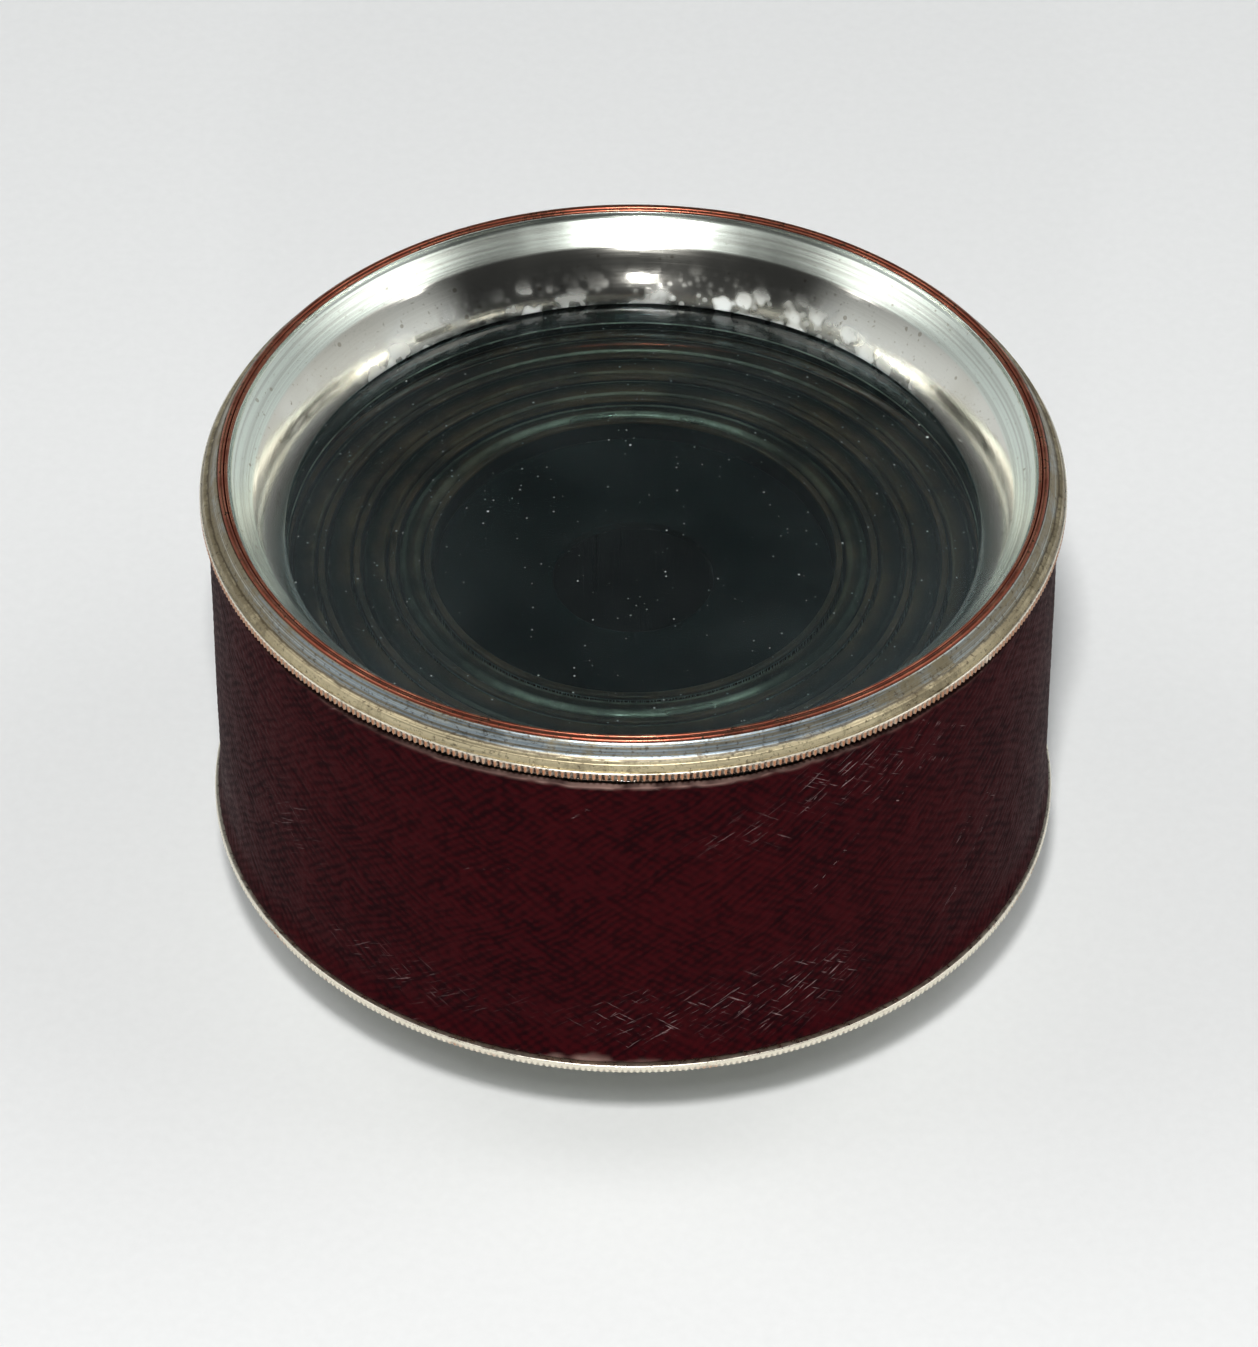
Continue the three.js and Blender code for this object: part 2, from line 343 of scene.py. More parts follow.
SILVER = (0.70, 0.735, 0.68, 1)
SILVER_WARM = (0.76, 0.74, 0.66, 1)
SILVER_BLUE_REFLECTION = (0.30, 0.36, 0.40, 1)
SILVER_WORN = (0.86, 0.80, 0.66, 1)
SILVER_DULL = (0.56, 0.52, 0.42, 1)
SILVER_CLOUDED = (0.93, 0.95, 0.92, 1)
BRUSHED_DARK = (0.50, 0.55, 0.49, 1)
BRUSHED_LIGHT = (0.80, 0.87, 0.78, 1)
CREAM = (0.62, 0.53, 0.34, 1)
TARNISH_AND_SHADE = (0.24, 0.20, 0.125, 1)
DARK_TARNISH_AND_REFLECTION = (0.07, 0.05, 0.03, 1)
COPPER = (0.70, 0.33, 0.21, 1)
COPPER_LIP = (0.56, 0.235, 0.14, 1)
COPPER_BROWN = (0.46, 0.22, 0.12, 1)
COPPER_DARK = (0.26, 0.075, 0.045, 1)
LACQUER = (0.003, 0.008, 0.008, 1)
LACQUER_DUST = (0.14, 0.15, 0.13, 1)
WORN_BRASS = (0.15, 0.075, 0.040, 1)
POLISHED_BRASS = (0.62, 0.60, 0.47, 1)
GRIME_AND_SHADE = (0.035, 0.014, 0.008, 1)
GLASS = (0.85, 0.96, 0.96, 1)
GLASS_DUST = (0.50, 0.56, 0.48, 1)
LEATHER_DARK = (0.009, 0.0010, 0.0018, 1)
LEATHER = (0.028, 0.0016, 0.0028, 1)
LEATHER_WARM = (0.044, 0.0024, 0.0036, 1)
LEATHER_PORE = (0.012, 0.003, 0.006, 1)
LEATHER_RUB_AND_GLINT = (0.26, 0.175, 0.175, 1)
LEATHER_RAW = (0.30, 0.19, 0.16, 1)


def silver_plate(name, tarnish=0.35, copper=0.5, marks=0.5):
    """Silver plate on copper: tarnished in patches, rubbed to the copper on its edges."""
    finish = Finish(name)
    space = finish.object_space()
    cloud = finish.noise(space, 170, detail=6, roughness=0.65)
    specks = finish.noise(space, 1500, detail=4, roughness=0.7)
    darkened = finish.span(cloud, 0.72 - 0.5 * tarnish, 0.92 - 0.4 * tarnish, 0.0, 0.85)
    colour = finish.mix(darkened, SILVER, TARNISH_AND_SHADE)
    rubbed = finish.times(finish.attribute("edge"), finish.span(specks, 0.35, 0.6))
    colour = finish.mix(finish.times(rubbed, copper), colour, COPPER)
    finish.set("Base Color", colour)
    finish.set("Metallic", 1.0)
    rough = finish.span(finish.plus(cloud, specks), 0.7, 1.3, 0.16, 0.36)
    finish.set("Roughness", finish.plus(rough, finish.times(darkened, 0.2)))
    finish.bump(finish.turning_marks(), strength=marks, depth=0.012)
    finish.bump(specks, strength=0.25, depth=0.02)
    return finish.material


def cove_silver(low, high):
    """The bezel's cove: bluish silver under the lip, a painted reflection edged below by a
    painted dark line; olive tarnish lower, a rubbed foot; sides and back darkened by painted
    shade.
    """
    finish = Finish("cove_silver")
    space = finish.object_space()
    angle, height = finish.polar()[1:]
    patches = finish.noise(space, 420, detail=7, roughness=0.75)
    drift = finish.noise(space, 45, detail=2)
    specks = finish.noise(space, 2800, detail=4, roughness=0.7)
    streaks = finish.turning_marks(5000)
    level = finish.span(height, low, high)
    wandering = finish.plus(level, finish.span(patches, 0.3, 0.7, -0.03, 0.03))
    tarnish_and_side_shade = finish.span(finish.plus(patches, drift), 0.90, 1.15, 0.0, 0.95)
    # Painted light: the front is left clean and bright, and the sides and back are laid over with
    # tarnish colour as painted shade.
    sides_and_back = finish.span(finish.frontness(angle), 0.95, 0.3)
    painted_side_shade = finish.times(sides_and_back, finish.span(patches, 0.3, 0.6, 0.35, 1.0))
    tarnish_and_side_shade = finish.math("MAXIMUM", tarnish_and_side_shade, painted_side_shade)
    # Painted reflection: under the lip the silver is tinted a dark blue.
    upper = finish.mix(tarnish_and_side_shade, SILVER_BLUE_REFLECTION, TARNISH_AND_SHADE)
    upper = finish.mix(finish.span(streaks, 0.48, 0.58, 0.0, 0.8), upper, TARNISH_AND_SHADE)
    upper = finish.mix(finish.span(streaks, 0.44, 0.36, 0.0, 0.5), upper, SILVER)
    lower = finish.mix(tarnish_and_side_shade, CREAM, TARNISH_AND_SHADE)
    lower = finish.mix(finish.span(streaks, 0.52, 0.60, 0.0, 0.7), lower, TARNISH_AND_SHADE)
    colour = finish.mix(finish.span(wandering, 0.24, 0.34), lower, upper)
    # A painted dark line along the lower edge of the painted blue reflection.
    reflection_edge_line = finish.times(finish.band(wandering, 0.30, 0.06), 0.8)
    colour = finish.mix(reflection_edge_line, colour, DARK_TARNISH_AND_REFLECTION)
    colour = finish.mix(finish.span(specks, 0.54, 0.66, 0.0, 0.7), colour, DARK_TARNISH_AND_REFLECTION)
    finish.set("Base Color", colour)
    finish.set("Metallic", 1.0)
    finish.set("Roughness", finish.span(patches, 0.3, 0.7, 0.30, 0.52))
    finish.bump(streaks, strength=0.7, depth=0.03)
    finish.bump(specks, strength=0.5, depth=0.03)
    return finish.material


def dish_silver(step_radius, foot, shoulder):
    """The bright dish: a brushed land outside, polished inside, clouded at the back near
    the lens. The step radius parts land and inside; foot and shoulder are its heights."""
    finish = Finish("dish_silver")
    space = finish.object_space()
    radius, angle, height = finish.polar()
    land = finish.span(radius, step_radius - 0.2 * MM, step_radius + 0.1 * MM)
    cloud = finish.noise(space, 80, detail=3, roughness=0.5)
    fine = finish.noise(space, 2600, detail=3, roughness=0.6)
    streaks = finish.turning_marks(3500)
    low_down = finish.span(height, foot, foot + 0.62 * (shoulder - foot), 1.0, 0.0)
    puffs = finish.plus(finish.lumps(space, 520), finish.times(finish.lumps(space, 1300), 0.4))
    at_back = finish.span(finish.frontness(angle), -0.80, -0.45, 1.0, 0.06)
    bloom = finish.times(finish.span(cloud, 0.32, 0.50, 0.45, 1.0), low_down)
    bloom = finish.times(bloom, at_back)
    smeared = finish.times(finish.span(puffs, 0.0, 0.8, 0.25, 1.0), bloom)
    colour = finish.mix(smeared, SILVER_WARM, SILVER_CLOUDED)
    brushed = finish.times(land, finish.span(streaks, 0.40, 0.60))
    colour = finish.mix(finish.times(land, 0.7), colour, BRUSHED_DARK)
    colour = finish.mix(finish.times(brushed, 0.7), colour, BRUSHED_LIGHT)
    dull = finish.times(finish.span(cloud, 0.45, 0.65, 0.0, 0.35), finish.span(land, 1.0, 0.0))
    colour = finish.mix(dull, colour, SILVER_DULL)
    spots = finish.times(finish.dots(space, 900, 0.22, 0.35), 0.5)
    colour = finish.mix(spots, colour, TARNISH_AND_SHADE)
    colour = finish.mix(finish.span(fine, 0.62, 0.72, 0.0, 0.4), colour, TARNISH_AND_SHADE)
    finish.set("Base Color", colour)
    finish.set("Metallic", finish.span(smeared, 0.2, 1.0, 1.0, 0.6))
    polished = finish.span(cloud, 0.35, 0.65, 0.08, 0.14)
    rough = finish.plus(polished, finish.times(smeared, 0.45))
    finish.set("Roughness", finish.plus(rough, finish.times(land, 0.12)))
    finish.bump(streaks, strength=0.4, depth=0.015)
    finish.bump(smeared, strength=0.3, depth=0.08)
    return finish.material


def lip_copper():
    """Bare copper, browned, and rubbed bright along its two beads."""
    finish = Finish("lip_copper")
    space = finish.object_space()
    patches = finish.noise(space, 300, detail=6, roughness=0.65)
    specks = finish.noise(space, 2400, detail=3)
    bright = finish.times(finish.attribute("edge"), finish.span(patches, 0.30, 0.62))
    colour = finish.mix(finish.span(bright, 0.15, 0.95), COPPER_DARK, COPPER_LIP)
    finish.set("Base Color", finish.mix(finish.span(specks, 0.6, 0.7), colour, DARK_TARNISH_AND_REFLECTION))
    finish.set("Metallic", 1.0)
    finish.set("Roughness", finish.span(patches, 0.3, 0.7, 0.40, 0.22))
    finish.bump(specks, strength=0.5, depth=0.03)
    return finish.material


def milled_metal(name, copper, grime):
    """A milled ring: rubbed bright on its smooth edge, copper on the teeth, grime between
    them and painted shade on its flat faces in from the rim. Copper and grime say how
    much, from 0 to 1."""
    finish = Finish(name)
    space = finish.object_space()
    patches = finish.noise(space, 210, detail=6, roughness=0.6)
    specks = finish.noise(space, 1900, detail=3)
    reach = 1.0 - 0.7 * copper
    exposed = finish.span(patches, reach - 0.15, reach)
    bare = finish.times(finish.attribute("tooth"), exposed)
    rubbed = finish.mix(finish.span(patches, 0.6, 0.7, 0.0, copper), SILVER_WORN, TARNISH_AND_SHADE)
    colour = finish.mix(bare, rubbed, COPPER_BROWN)
    darkened = finish.times(finish.attribute("groove"), finish.span(specks, 0.3, 0.6, 0.75, 1.0))
    darkened = finish.times(darkened, grime)
    # Painted shade: the ring's flat faces in from its rim are darkened where the ring meets its
    # neighbours.
    darkened = finish.math("MAXIMUM", darkened, finish.attribute("corner_shade"))
    colour = finish.mix(darkened, colour, GRIME_AND_SHADE)
    colour = finish.mix(finish.span(specks, 0.64, 0.72, 0.0, 0.5), colour, COPPER_DARK)
    finish.set("Base Color", colour)
    finish.set("Metallic", 1.0)
    finish.set("Roughness", finish.span(specks, 0.3, 0.7, 0.25, 0.42))
    finish.bump(specks, strength=0.3, depth=0.02)
    return finish.material


WORN_REACH = 2.2  # millimetres of paint worn away to each side of a draw tube's rim


def black_lacquer(name, rim=None, bare=0.8):
    """Matt black inside paint, rubbed to brassy copper on edges and, in patches, near
    the rim radius given. Bare is how polished the rubbed edges are. Given a rim, the
    rubbed edges are kept to the front and back, a painted highlight."""
    finish = Finish(name)
    space = finish.object_space()
    radius, angle = finish.polar()[:2]
    patches = finish.noise(space, 150, detail=5, roughness=0.6)
    dust = finish.noise(space, 3800, detail=2)
    colour = finish.mix(finish.span(dust, 0.6, 0.75, 0.0, 0.2), LACQUER, LACQUER_DUST)
    rubbed = finish.span(patches, 0.40, 0.60, 0.4 * bare, bare)
    rubbed = finish.times(finish.attribute("edge"), rubbed)
    if rim:
        near = finish.band(radius, rim, WORN_REACH * MM)
        worn = finish.times(near, finish.span(patches, 0.36, 0.62, 0.3, 1.0))
        colour = finish.mix(worn, colour, WORN_BRASS)
        # The rubbed edges are kept to the front and back of these rings, where the highlights
        # fall, and off the sides: painted highlight.
        along = finish.frontness(angle)
        highlight_ends = finish.span(finish.times(along, along), 0.45, 0.95, 0.15, 1.0)
        rubbed = finish.times(rubbed, highlight_ends)
    finish.set("Base Color", finish.mix(rubbed, colour, POLISHED_BRASS))
    finish.set("Metallic", rubbed)
    matt = finish.span(patches, 0.3, 0.7, 0.55, 0.75)
    finish.set("Roughness", finish.math("SUBTRACT", matt, finish.times(rubbed, 0.5)))
    finish.set("Specular IOR Level", 0.1)
    finish.bump(dust, strength=0.3, depth=0.03)
    return finish.material


def draw_plate(name, mid_wall, top):
    """A draw tube: silver plate outside, black inside, its front rim rubbed bare."""
    finish = Finish(name)
    space = finish.object_space()
    radius, angle, height = finish.polar()
    outside = finish.span(radius, mid_wall - 0.1 * MM, mid_wall + 0.1 * MM)
    outside = finish.times(outside, finish.span(height, top - 0.5 * MM, top - 0.2 * MM, 1.0, 0.0))
    cloud = finish.noise(space, 150, detail=6, roughness=0.6)
    lanes = finish.together(finish.times(angle, 0.9), 0.0, finish.times(height, 0.06))
    scratches = finish.noise(lanes, 900, detail=4, roughness=0.65)
    patches = finish.noise(space, 150, detail=4)
    silver = finish.mix(finish.span(cloud, 0.5, 0.75, 0.0, 0.6), SILVER, TARNISH_AND_SHADE)
    silver = finish.mix(finish.span(scratches, 0.66, 0.74, 0.0, 0.5), silver, COPPER)
    colour = finish.mix(outside, LACQUER, silver)
    rim = finish.span(height, top - 0.4 * MM, top - 0.1 * MM)
    rubbed = finish.times(rim, finish.span(patches, 0.35, 0.6, 0.35, 1.0))
    finish.set("Base Color", finish.mix(rubbed, colour, WORN_BRASS))
    finish.set("Metallic", finish.math("MAXIMUM", outside, finish.times(rubbed, 0.3)))
    polished = finish.span(scratches, 0.3, 0.7, 0.16, 0.34)
    dull = finish.math("SUBTRACT", 0.6, polished)
    share = finish.times(outside, finish.math("SUBTRACT", polished, dull))
    finish.set("Roughness", finish.plus(share, dull))
    finish.bump(scratches, strength=0.25, depth=0.012)
    return finish.material


def lens_glass(name, dust):
    """Old crown glass, greenish, with a faint haze and specks of dust on its faces. Dust
    is the share of it, from 0 to 1."""
    finish = Finish(name)
    space = finish.object_space()
    clouds = finish.noise(space, 90, detail=4)
    small = finish.dots(space, 1300, 0.13, 0.45 * dust)
    large = finish.dots(space, 420, 0.07, 0.18 * dust)
    speck = finish.math("MAXIMUM", finish.times(small, 0.4), finish.times(large, 0.5))
    haze = finish.span(clouds, 0.35, 0.70, 0.001, 0.001 + 0.005 * dust)
    finish.set("Base Color", finish.mix(speck, GLASS, GLASS_DUST))
    cloudy = finish.span(clouds, 0.4, 0.75, 0.0, 0.012 * dust)
    finish.set("Roughness", finish.plus(cloudy, finish.times(speck, 0.6)))
    finish.set("IOR", 1.52)
    lost = finish.math("MAXIMUM", speck, haze)
    finish.set("Transmission Weight", finish.math("SUBTRACT", 1.0, lost))
    return finish.material


def morocco_leather():
    """Burgundy morocco: a fine crossed grain, dark pores and pale strokes that are partly rubbed
    wear, partly painted highlight.
    """
    finish = Finish("morocco_leather")
    space = finish.object_space()
    flat = finish.unwrapped()
    tone = finish.noise(space, 90, detail=5, roughness=0.6)
    pores = finish.noise(flat, 2.6, detail=5, roughness=0.65)
    grain = finish.attribute("grain")
    colour = finish.mix(finish.span(grain, 0.15, 0.75), LEATHER_DARK, LEATHER)
    warm = finish.span(tone, 0.40, 0.70, 0.0, 0.6)
    colour = finish.mix(warm, colour, finish.mix(grain, LEATHER_DARK, LEATHER_WARM))
    colour = finish.mix(finish.span(pores, 0.60, 0.75, 0.0, 0.4), colour, LEATHER_PORE)
    strokes = 0.0
    # Each family of strokes: its slope in degrees, and a stroke's length and width in mm.
    for slope, along, across in ((38, 5.0, 0.26), (31, 3.0, 0.22), (-34, 3.4, 0.24)):
        lines = finish.noise(finish.slanted(flat, slope, along, across), 1.0, detail=2)
        strokes = finish.math("MAXIMUM", strokes, finish.span(lines, 0.63, 0.73))
    wear = finish.attribute("wear")
    # Pale strokes on rubbed places and along scratches: real wear, partly a painted highlight on
    # the rubbed ridges.
    broken = finish.times(strokes, finish.span(pores, 0.35, 0.55, 0.4, 1.0))
    rubs_and_glints = finish.times(finish.span(wear, 0.08, 0.6), broken)
    rubs_and_glints = finish.math("MAXIMUM", rubs_and_glints, finish.span(wear, 0.92, 1.05))
    colour = finish.mix(finish.times(rubs_and_glints, 0.8), colour, LEATHER_RUB_AND_GLINT)
    colour = finish.mix(finish.attribute("cut"), colour, LEATHER_RAW)
    finish.set("Base Color", colour)
    finish.set("Roughness", finish.span(finish.plus(grain, pores), 0.5, 1.4, 0.66, 0.46))
    finish.set("Specular IOR Level", 0.02)
    finish.bump(pores, strength=0.4, depth=0.08)
    finish.bump(strokes, strength=0.3, depth=0.04)
    return finish.material


# ---- sections and turned solids ----------------------------------------------------

def cad_section(node):
    """The section of a turned CAD node as an anticlockwise list of (radius, height) in mm."""
    mesh = frame["nodes"][node].data
    points = {}
    for vertex in mesh.vertices:
        x, y, z = vertex.co / MM
        if abs(x) < SAME_PLACE and y < SAME_PLACE:
            points[vertex.index] = (round(-y, 2), round(z, 2))
    beside = {}
    for edge in mesh.edges:
        a, b = (points.get(i) for i in edge.vertices)
        if a and b and a != b:
            beside.setdefault(a, set()).add(b)
            beside.setdefault(b, set()).add(a)
    walk = [min(beside)]
    while True:
        ahead = [p for p in sorted(beside[walk[-1]]) if p not in walk]
        if not ahead:
            break
        walk.append(ahead[0])
    corners = np.array(walk)
    following = np.roll(corners, -1, axis=0)
    area = np.sum(corners[:, 0] * following[:, 1] - following[:, 0] * corners[:, 1])
    return corners if area > 0 else corners[::-1]


def soften(corners, fillet=0.12, sharp=20, steps=4):
    """Rounds a closed section: corners sharper than an angle get a fillet, and gentler
    ones flow into one curve. Returns (radius, height, edge) rows, where edge is 1 on the
    crest of an outer corner."""
    rows = []
    count = len(corners)
    touching = 1e-4
    for i in range(count):
        corner = corners[i]
        back, ahead = corners[i - 1] - corner, corners[(i + 1) % count] - corner
        back_length, ahead_length = np.linalg.norm(back), np.linalg.norm(ahead)
        cross = -back[0] * ahead[1] + back[1] * ahead[0]
        turn = math.atan2(cross, -np.dot(back, ahead))
        gentle = abs(turn) < math.radians(sharp)
        reach_back = back_length / 2 if gentle else min(fillet, 0.45 * back_length)
        reach_ahead = ahead_length / 2 if gentle else min(fillet, 0.45 * ahead_length)
        start = corner + back / back_length * reach_back
        end = corner + ahead / ahead_length * reach_ahead
        crest = 1.0 if turn > 0 and not gentle else 0.0
        for t in np.linspace(0, 1, steps + 1):
            point = (1 - t) ** 2 * start + 2 * t * (1 - t) * corner + t ** 2 * end
            if not rows or np.hypot(*(point - rows[-1][:2])) > touching:
                rows.append((*point, crest * min(1.0, 5 * t * (1 - t))))
    if np.hypot(*(np.array(rows[0][:2]) - rows[-1][:2])) < touching:
        rows.pop()
    return np.array(rows)


def lens_section(node):
    """A lens's section with true spherical faces, from its CAD rim and centre heights."""
    corners = cad_section(node)
    rim = corners[:, 0].max()
    rim_heights = corners[corners[:, 0] > rim - SAME_PLACE, 1]
    axis_heights = corners[corners[:, 0] < SAME_PLACE, 1]
    faces = []
    for rim_height, axis_height in (
        (rim_heights.min(), axis_heights.min()),
        (rim_heights.max(), axis_heights.max()),
    ):
        rise = axis_height - rim_height
        radii = np.linspace(0, rim, LENS_STEPS)
        heights = np.full(LENS_STEPS, axis_height)
        if abs(rise) > SAME_PLACE:
            sphere = (rim ** 2 + rise ** 2) / (2 * abs(rise))
            drop = sphere - np.sqrt(sphere ** 2 - radii ** 2)
            heights = axis_height - math.copysign(1, rise) * drop
        faces.append([(r, h, 0.0) for r, h in zip(radii, heights)])
    return np.array(faces[0] + faces[1][::-1])


def mesh_piece(name, node, points, faces, uvs, attributes, material):
    """Makes a smooth mesh piece that stands for a CAD node and rides on its body."""
    mesh = bpy.data.meshes.new(name)
    mesh.from_pydata((points * MM).tolist(), [], faces)
    mesh.uv_layers.new(name="unwrapped").data.foreach_set("uv", np.ravel(uvs))
    for key, values in attributes.items():
        layer = mesh.attributes.new(key, "FLOAT", "POINT")
        layer.data.foreach_set("value", np.ascontiguousarray(values, np.float32).ravel())
    mesh.materials.append(material)
    mesh.shade_smooth()
    piece = bpy.data.objects.new(name, mesh)
    bpy.context.scene.collection.objects.link(piece)
    piece.modifiers.new("even_normals", "WEIGHTED_NORMAL").weight = 60
    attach(piece, BODY_OF[node])
    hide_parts(node)
    return piece


def around(steps):
    """Angles of the facets, counted from the front towards +X."""
    return np.arange(steps) * 2 * math.pi / steps


def sweep(radius, height, start=0.0, closed=True):
    """Points, faces and unwrapped coordinates of a section carried round the axis. Both
    arrays are [step, row], so that the section may change on its way."""
    steps, rows = radius.shape
    angle = start + around(steps)[:, None]
    points = np.stack([radius * np.sin(angle), -radius * np.cos(angle), height], -1)
    index = np.arange(steps * rows).reshape(steps, rows)
    after = np.roll(index, -1, axis=0)
    faces = np.stack([index, after, np.roll(after, -1, 1), np.roll(index, -1, 1)], -1)
    outward = np.diff(radius[0], append=radius[0, 0])
    upward = np.diff(height[0], append=height[0, 0])
    run = np.concatenate([[0], np.cumsum(np.hypot(outward, upward))]) / UNWRAP
    u = np.arange(steps + 1) / steps
    corners = [(0, 0), (1, 0), (1, 1), (0, 1)]
    uvs = np.stack([
        np.stack(np.meshgrid(u[a:a + steps], run[b:b + rows], indexing="ij"), -1)
        for a, b in corners
    ], 2)
    if not closed:
        faces, uvs = faces[:, :-1], uvs[:, :-1]
    return points.reshape(-1, 3), faces.reshape(-1, 4).tolist(), uvs.reshape(-1, 2)


def revolve(section, steps, reshape=None):
    """Sweeps one section. reshape(radius, height, angle) may return changed arrays."""
    radius = np.repeat(section[None, :, 0], steps, axis=0)
    height = np.repeat(section[None, :, 1], steps, axis=0)
    if reshape:
        radius, height = reshape(radius, height, around(steps)[:, None])
    return sweep(radius, height)


def turned(name, node, material, section=None, steps=STEPS, reshape=None):
    """A turned piece that replaces a CAD node, from its own section unless one is given."""
    section = soften(cad_section(node)) if section is None else section
    points, faces, uvs = revolve(section, steps, reshape)
    edge = np.tile(section[:, 2], steps)
    return mesh_piece(name, node, points, faces, uvs, {"edge": edge}, material)


def ground_lens(name, node, material):
    """A lens: two spherical faces closed at the axis, and a plain rim."""
    section = lens_section(node)
    inner = section[1:-1]
    radius = np.repeat(inner[None, :, 0], STEPS, axis=0)
    height = np.repeat(inner[None, :, 1], STEPS, axis=0)
    points, faces, uvs = sweep(radius, height, closed=False)
    bottom, top = len(points), len(points) + 1
    points = np.vstack([points, [0, 0, section[0][1]], [0, 0, section[-1][1]]])
    last = len(inner) - 1
    fans = []
    for i in range(STEPS):
        here, after = i * len(inner), (i + 1) % STEPS * len(inner)
        faces.append((bottom, after, here))
        faces.append((top, here + last, after + last))
        left, right = i / STEPS, (i + 1) / STEPS
        fans += [(left, 0), (right, 0), (left, 0), (left, 1), (left, 1), (right, 1)]
    uvs = np.vstack([uvs, fans])
    edge = np.zeros(len(points))
    return mesh_piece(name, node, points, faces, uvs, {"edge": edge}, material)


def waviness(seed, amount, lobes=7):
    """A gentle hand-made unevenness, as a reshape function."""
    random = np.random.default_rng(seed)
    phases = random.uniform(0, 2 * math.pi, lobes)
    sizes = random.normal(0, amount, lobes) / np.arange(2, lobes + 2) ** 0.5

    def reshape(radius, height, angle):
        offset = sum(
            size * np.cos((k + 2) * angle + phase)
            for k, (size, phase) in enumerate(zip(sizes, phases))
        )
        return radius + offset, height + 0.5 * offset
    return reshape


# ---- bezel -------------------------------------------------------------------------

def with_rows(section, spacing):
    """Splits a section's outermost straight runs, so that a cut can end between corners."""
    rows = []
    outer = section[:, 0].max()
    for here, after in zip(section, np.roll(section, -1, axis=0)):
        length = np.hypot(*(after[:2] - here[:2]))
        on_rim = min(here[0], after[0]) > outer - SAME_PLACE
        parts = max(1, round(length / spacing)) if on_rim else 1
        for t in np.linspace(0, 1, parts, endpoint=False):
            rows.append(here + (after - here) * t)
    return np.array(rows)


def milled_ring(name, node, material, depth, smooth_edge):
    """A drum ring with fine teeth cut in its rim, up to a smooth top edge. The grooves
    widen downwards, so that the teeth hang in points."""
    spacing = 0.12
    section = with_rows(soften(cad_section(node), fillet=0.14), spacing)
    outer, height = section[:, 0].max(), section[:, 1]
    rim_heights = height[section[:, 0] > outer - 0.05]
    start, bottom = rim_heights.max() - smooth_edge, rim_heights.min()
    # The cut fades out on the ring's sides, from 0.15 to 0.45 mm inside its rim.
    on_rim = np.clip((section[:, 0] - (outer - 0.45)) / 0.3, 0, 1)
    fall = np.clip((start - height) / (start - bottom), 0, 1)
    started = np.clip((start - height) / spacing + 1, 0, 1)
    # A groove's half width at its top, its widening and its flank, in half pitches.
    narrow, widening, flank = 0.45, 0.35, 0.35
    across = np.abs(np.arange(TOOTH_STEPS) / TOOTH_STEPS - 0.5) * 2
    half_width = narrow + widening * fall[None, :]
    groove = np.clip((half_width - across[:, None]) / flank, 0, 1) * started
    groove = np.tile(groove, (TEETH, 1)) * on_rim
    unevenness = 0.15
    random = np.random.default_rng(11)
    depths = depth * (1 + unevenness * random.standard_normal(TEETH))
    cut = np.repeat(depths, TOOTH_STEPS)[:, None] * groove

    def reshape(radius, height, angle):
        return radius - cut, height

    steps = TEETH * TOOTH_STEPS
    # Painted shade: the flat faces in from the rim darken towards the tube.
    inside = np.clip((outer - 0.2 - section[:, 0]) / 0.2, 0, 1)
    points, faces, uvs = revolve(section, steps, reshape)
    attributes = {
        "edge": np.tile(section[:, 2], steps),
        "tooth": (1 - groove) * on_rim * started,
        "groove": groove,
        "corner_shade": np.tile(0.85 * inside, steps),
    }
    return mesh_piece(name, node, points, faces, uvs, attributes, material)


def lip(inner, outer):
    """The rolled copper lip: a broad outer bead, a fine groove and a narrow inner bead."""
    corners = cad_section("lip_ring")
    low, high = corners[:, 1].min(), corners[:, 1].max()
    valley = inner + 0.4 * (outer - inner)
    bead, step_down, foot_inset = 0.3, 0.05, 0.02
    rows = [(inner + foot_inset, low, 0.0), (outer - foot_inset, low, 0.0)]
    for start, end, crest in ((outer, valley, high), (valley, inner, high - step_down)):
        middle, half = (start + end) / 2, (start - end) / 2
        for t in np.linspace(0.0, math.pi, 12):
            rise = math.sin(t)
            level = crest - bead + bead * rise ** 0.7
            rows.append((middle + half * math.cos(t), level, rise ** 4))
    uneven = waviness(seed=5, amount=0.012)
    turned("lip_beads", "lip_ring", lip_copper(), np.array(rows), reshape=uneven)


def cove(lip_outer):
    """The cove runs without a break from the milled rim's top up to the copper lip."""
    corners = cad_section("bezel_cove")
    inner, foot = corners[:, 0].min(), corners[:, 0].max()
    floor_level, lip_top = DRUM_TOP / MM + 0.02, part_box("lip_ring")[1].z / MM
    hollow = sorted((r, h) for r, h in corners if inner < r < foot)
    skirt, skirt_height = 0.12, 0.28  # the foot spreads on the milled ring
    outline = [
        (inner, floor_level),
        (foot + skirt, floor_level),
        (foot, floor_level + skirt_height),
        *hollow[::-1],
        (lip_outer + 0.22, lip_top - 0.35),  # the shoulder under the lip
        (lip_outer + 0.03, lip_top - 0.16),  # up against the lip
        (inner, lip_top - 0.45),
    ]
    section = soften(np.array(outline), fillet=0.1, sharp=50)
    material = cove_silver(floor_level * MM, lip_top * MM)
    uneven = waviness(seed=3, amount=0.01)
    turned("bezel_cove_turned", "bezel_cove", material, section, reshape=uneven)


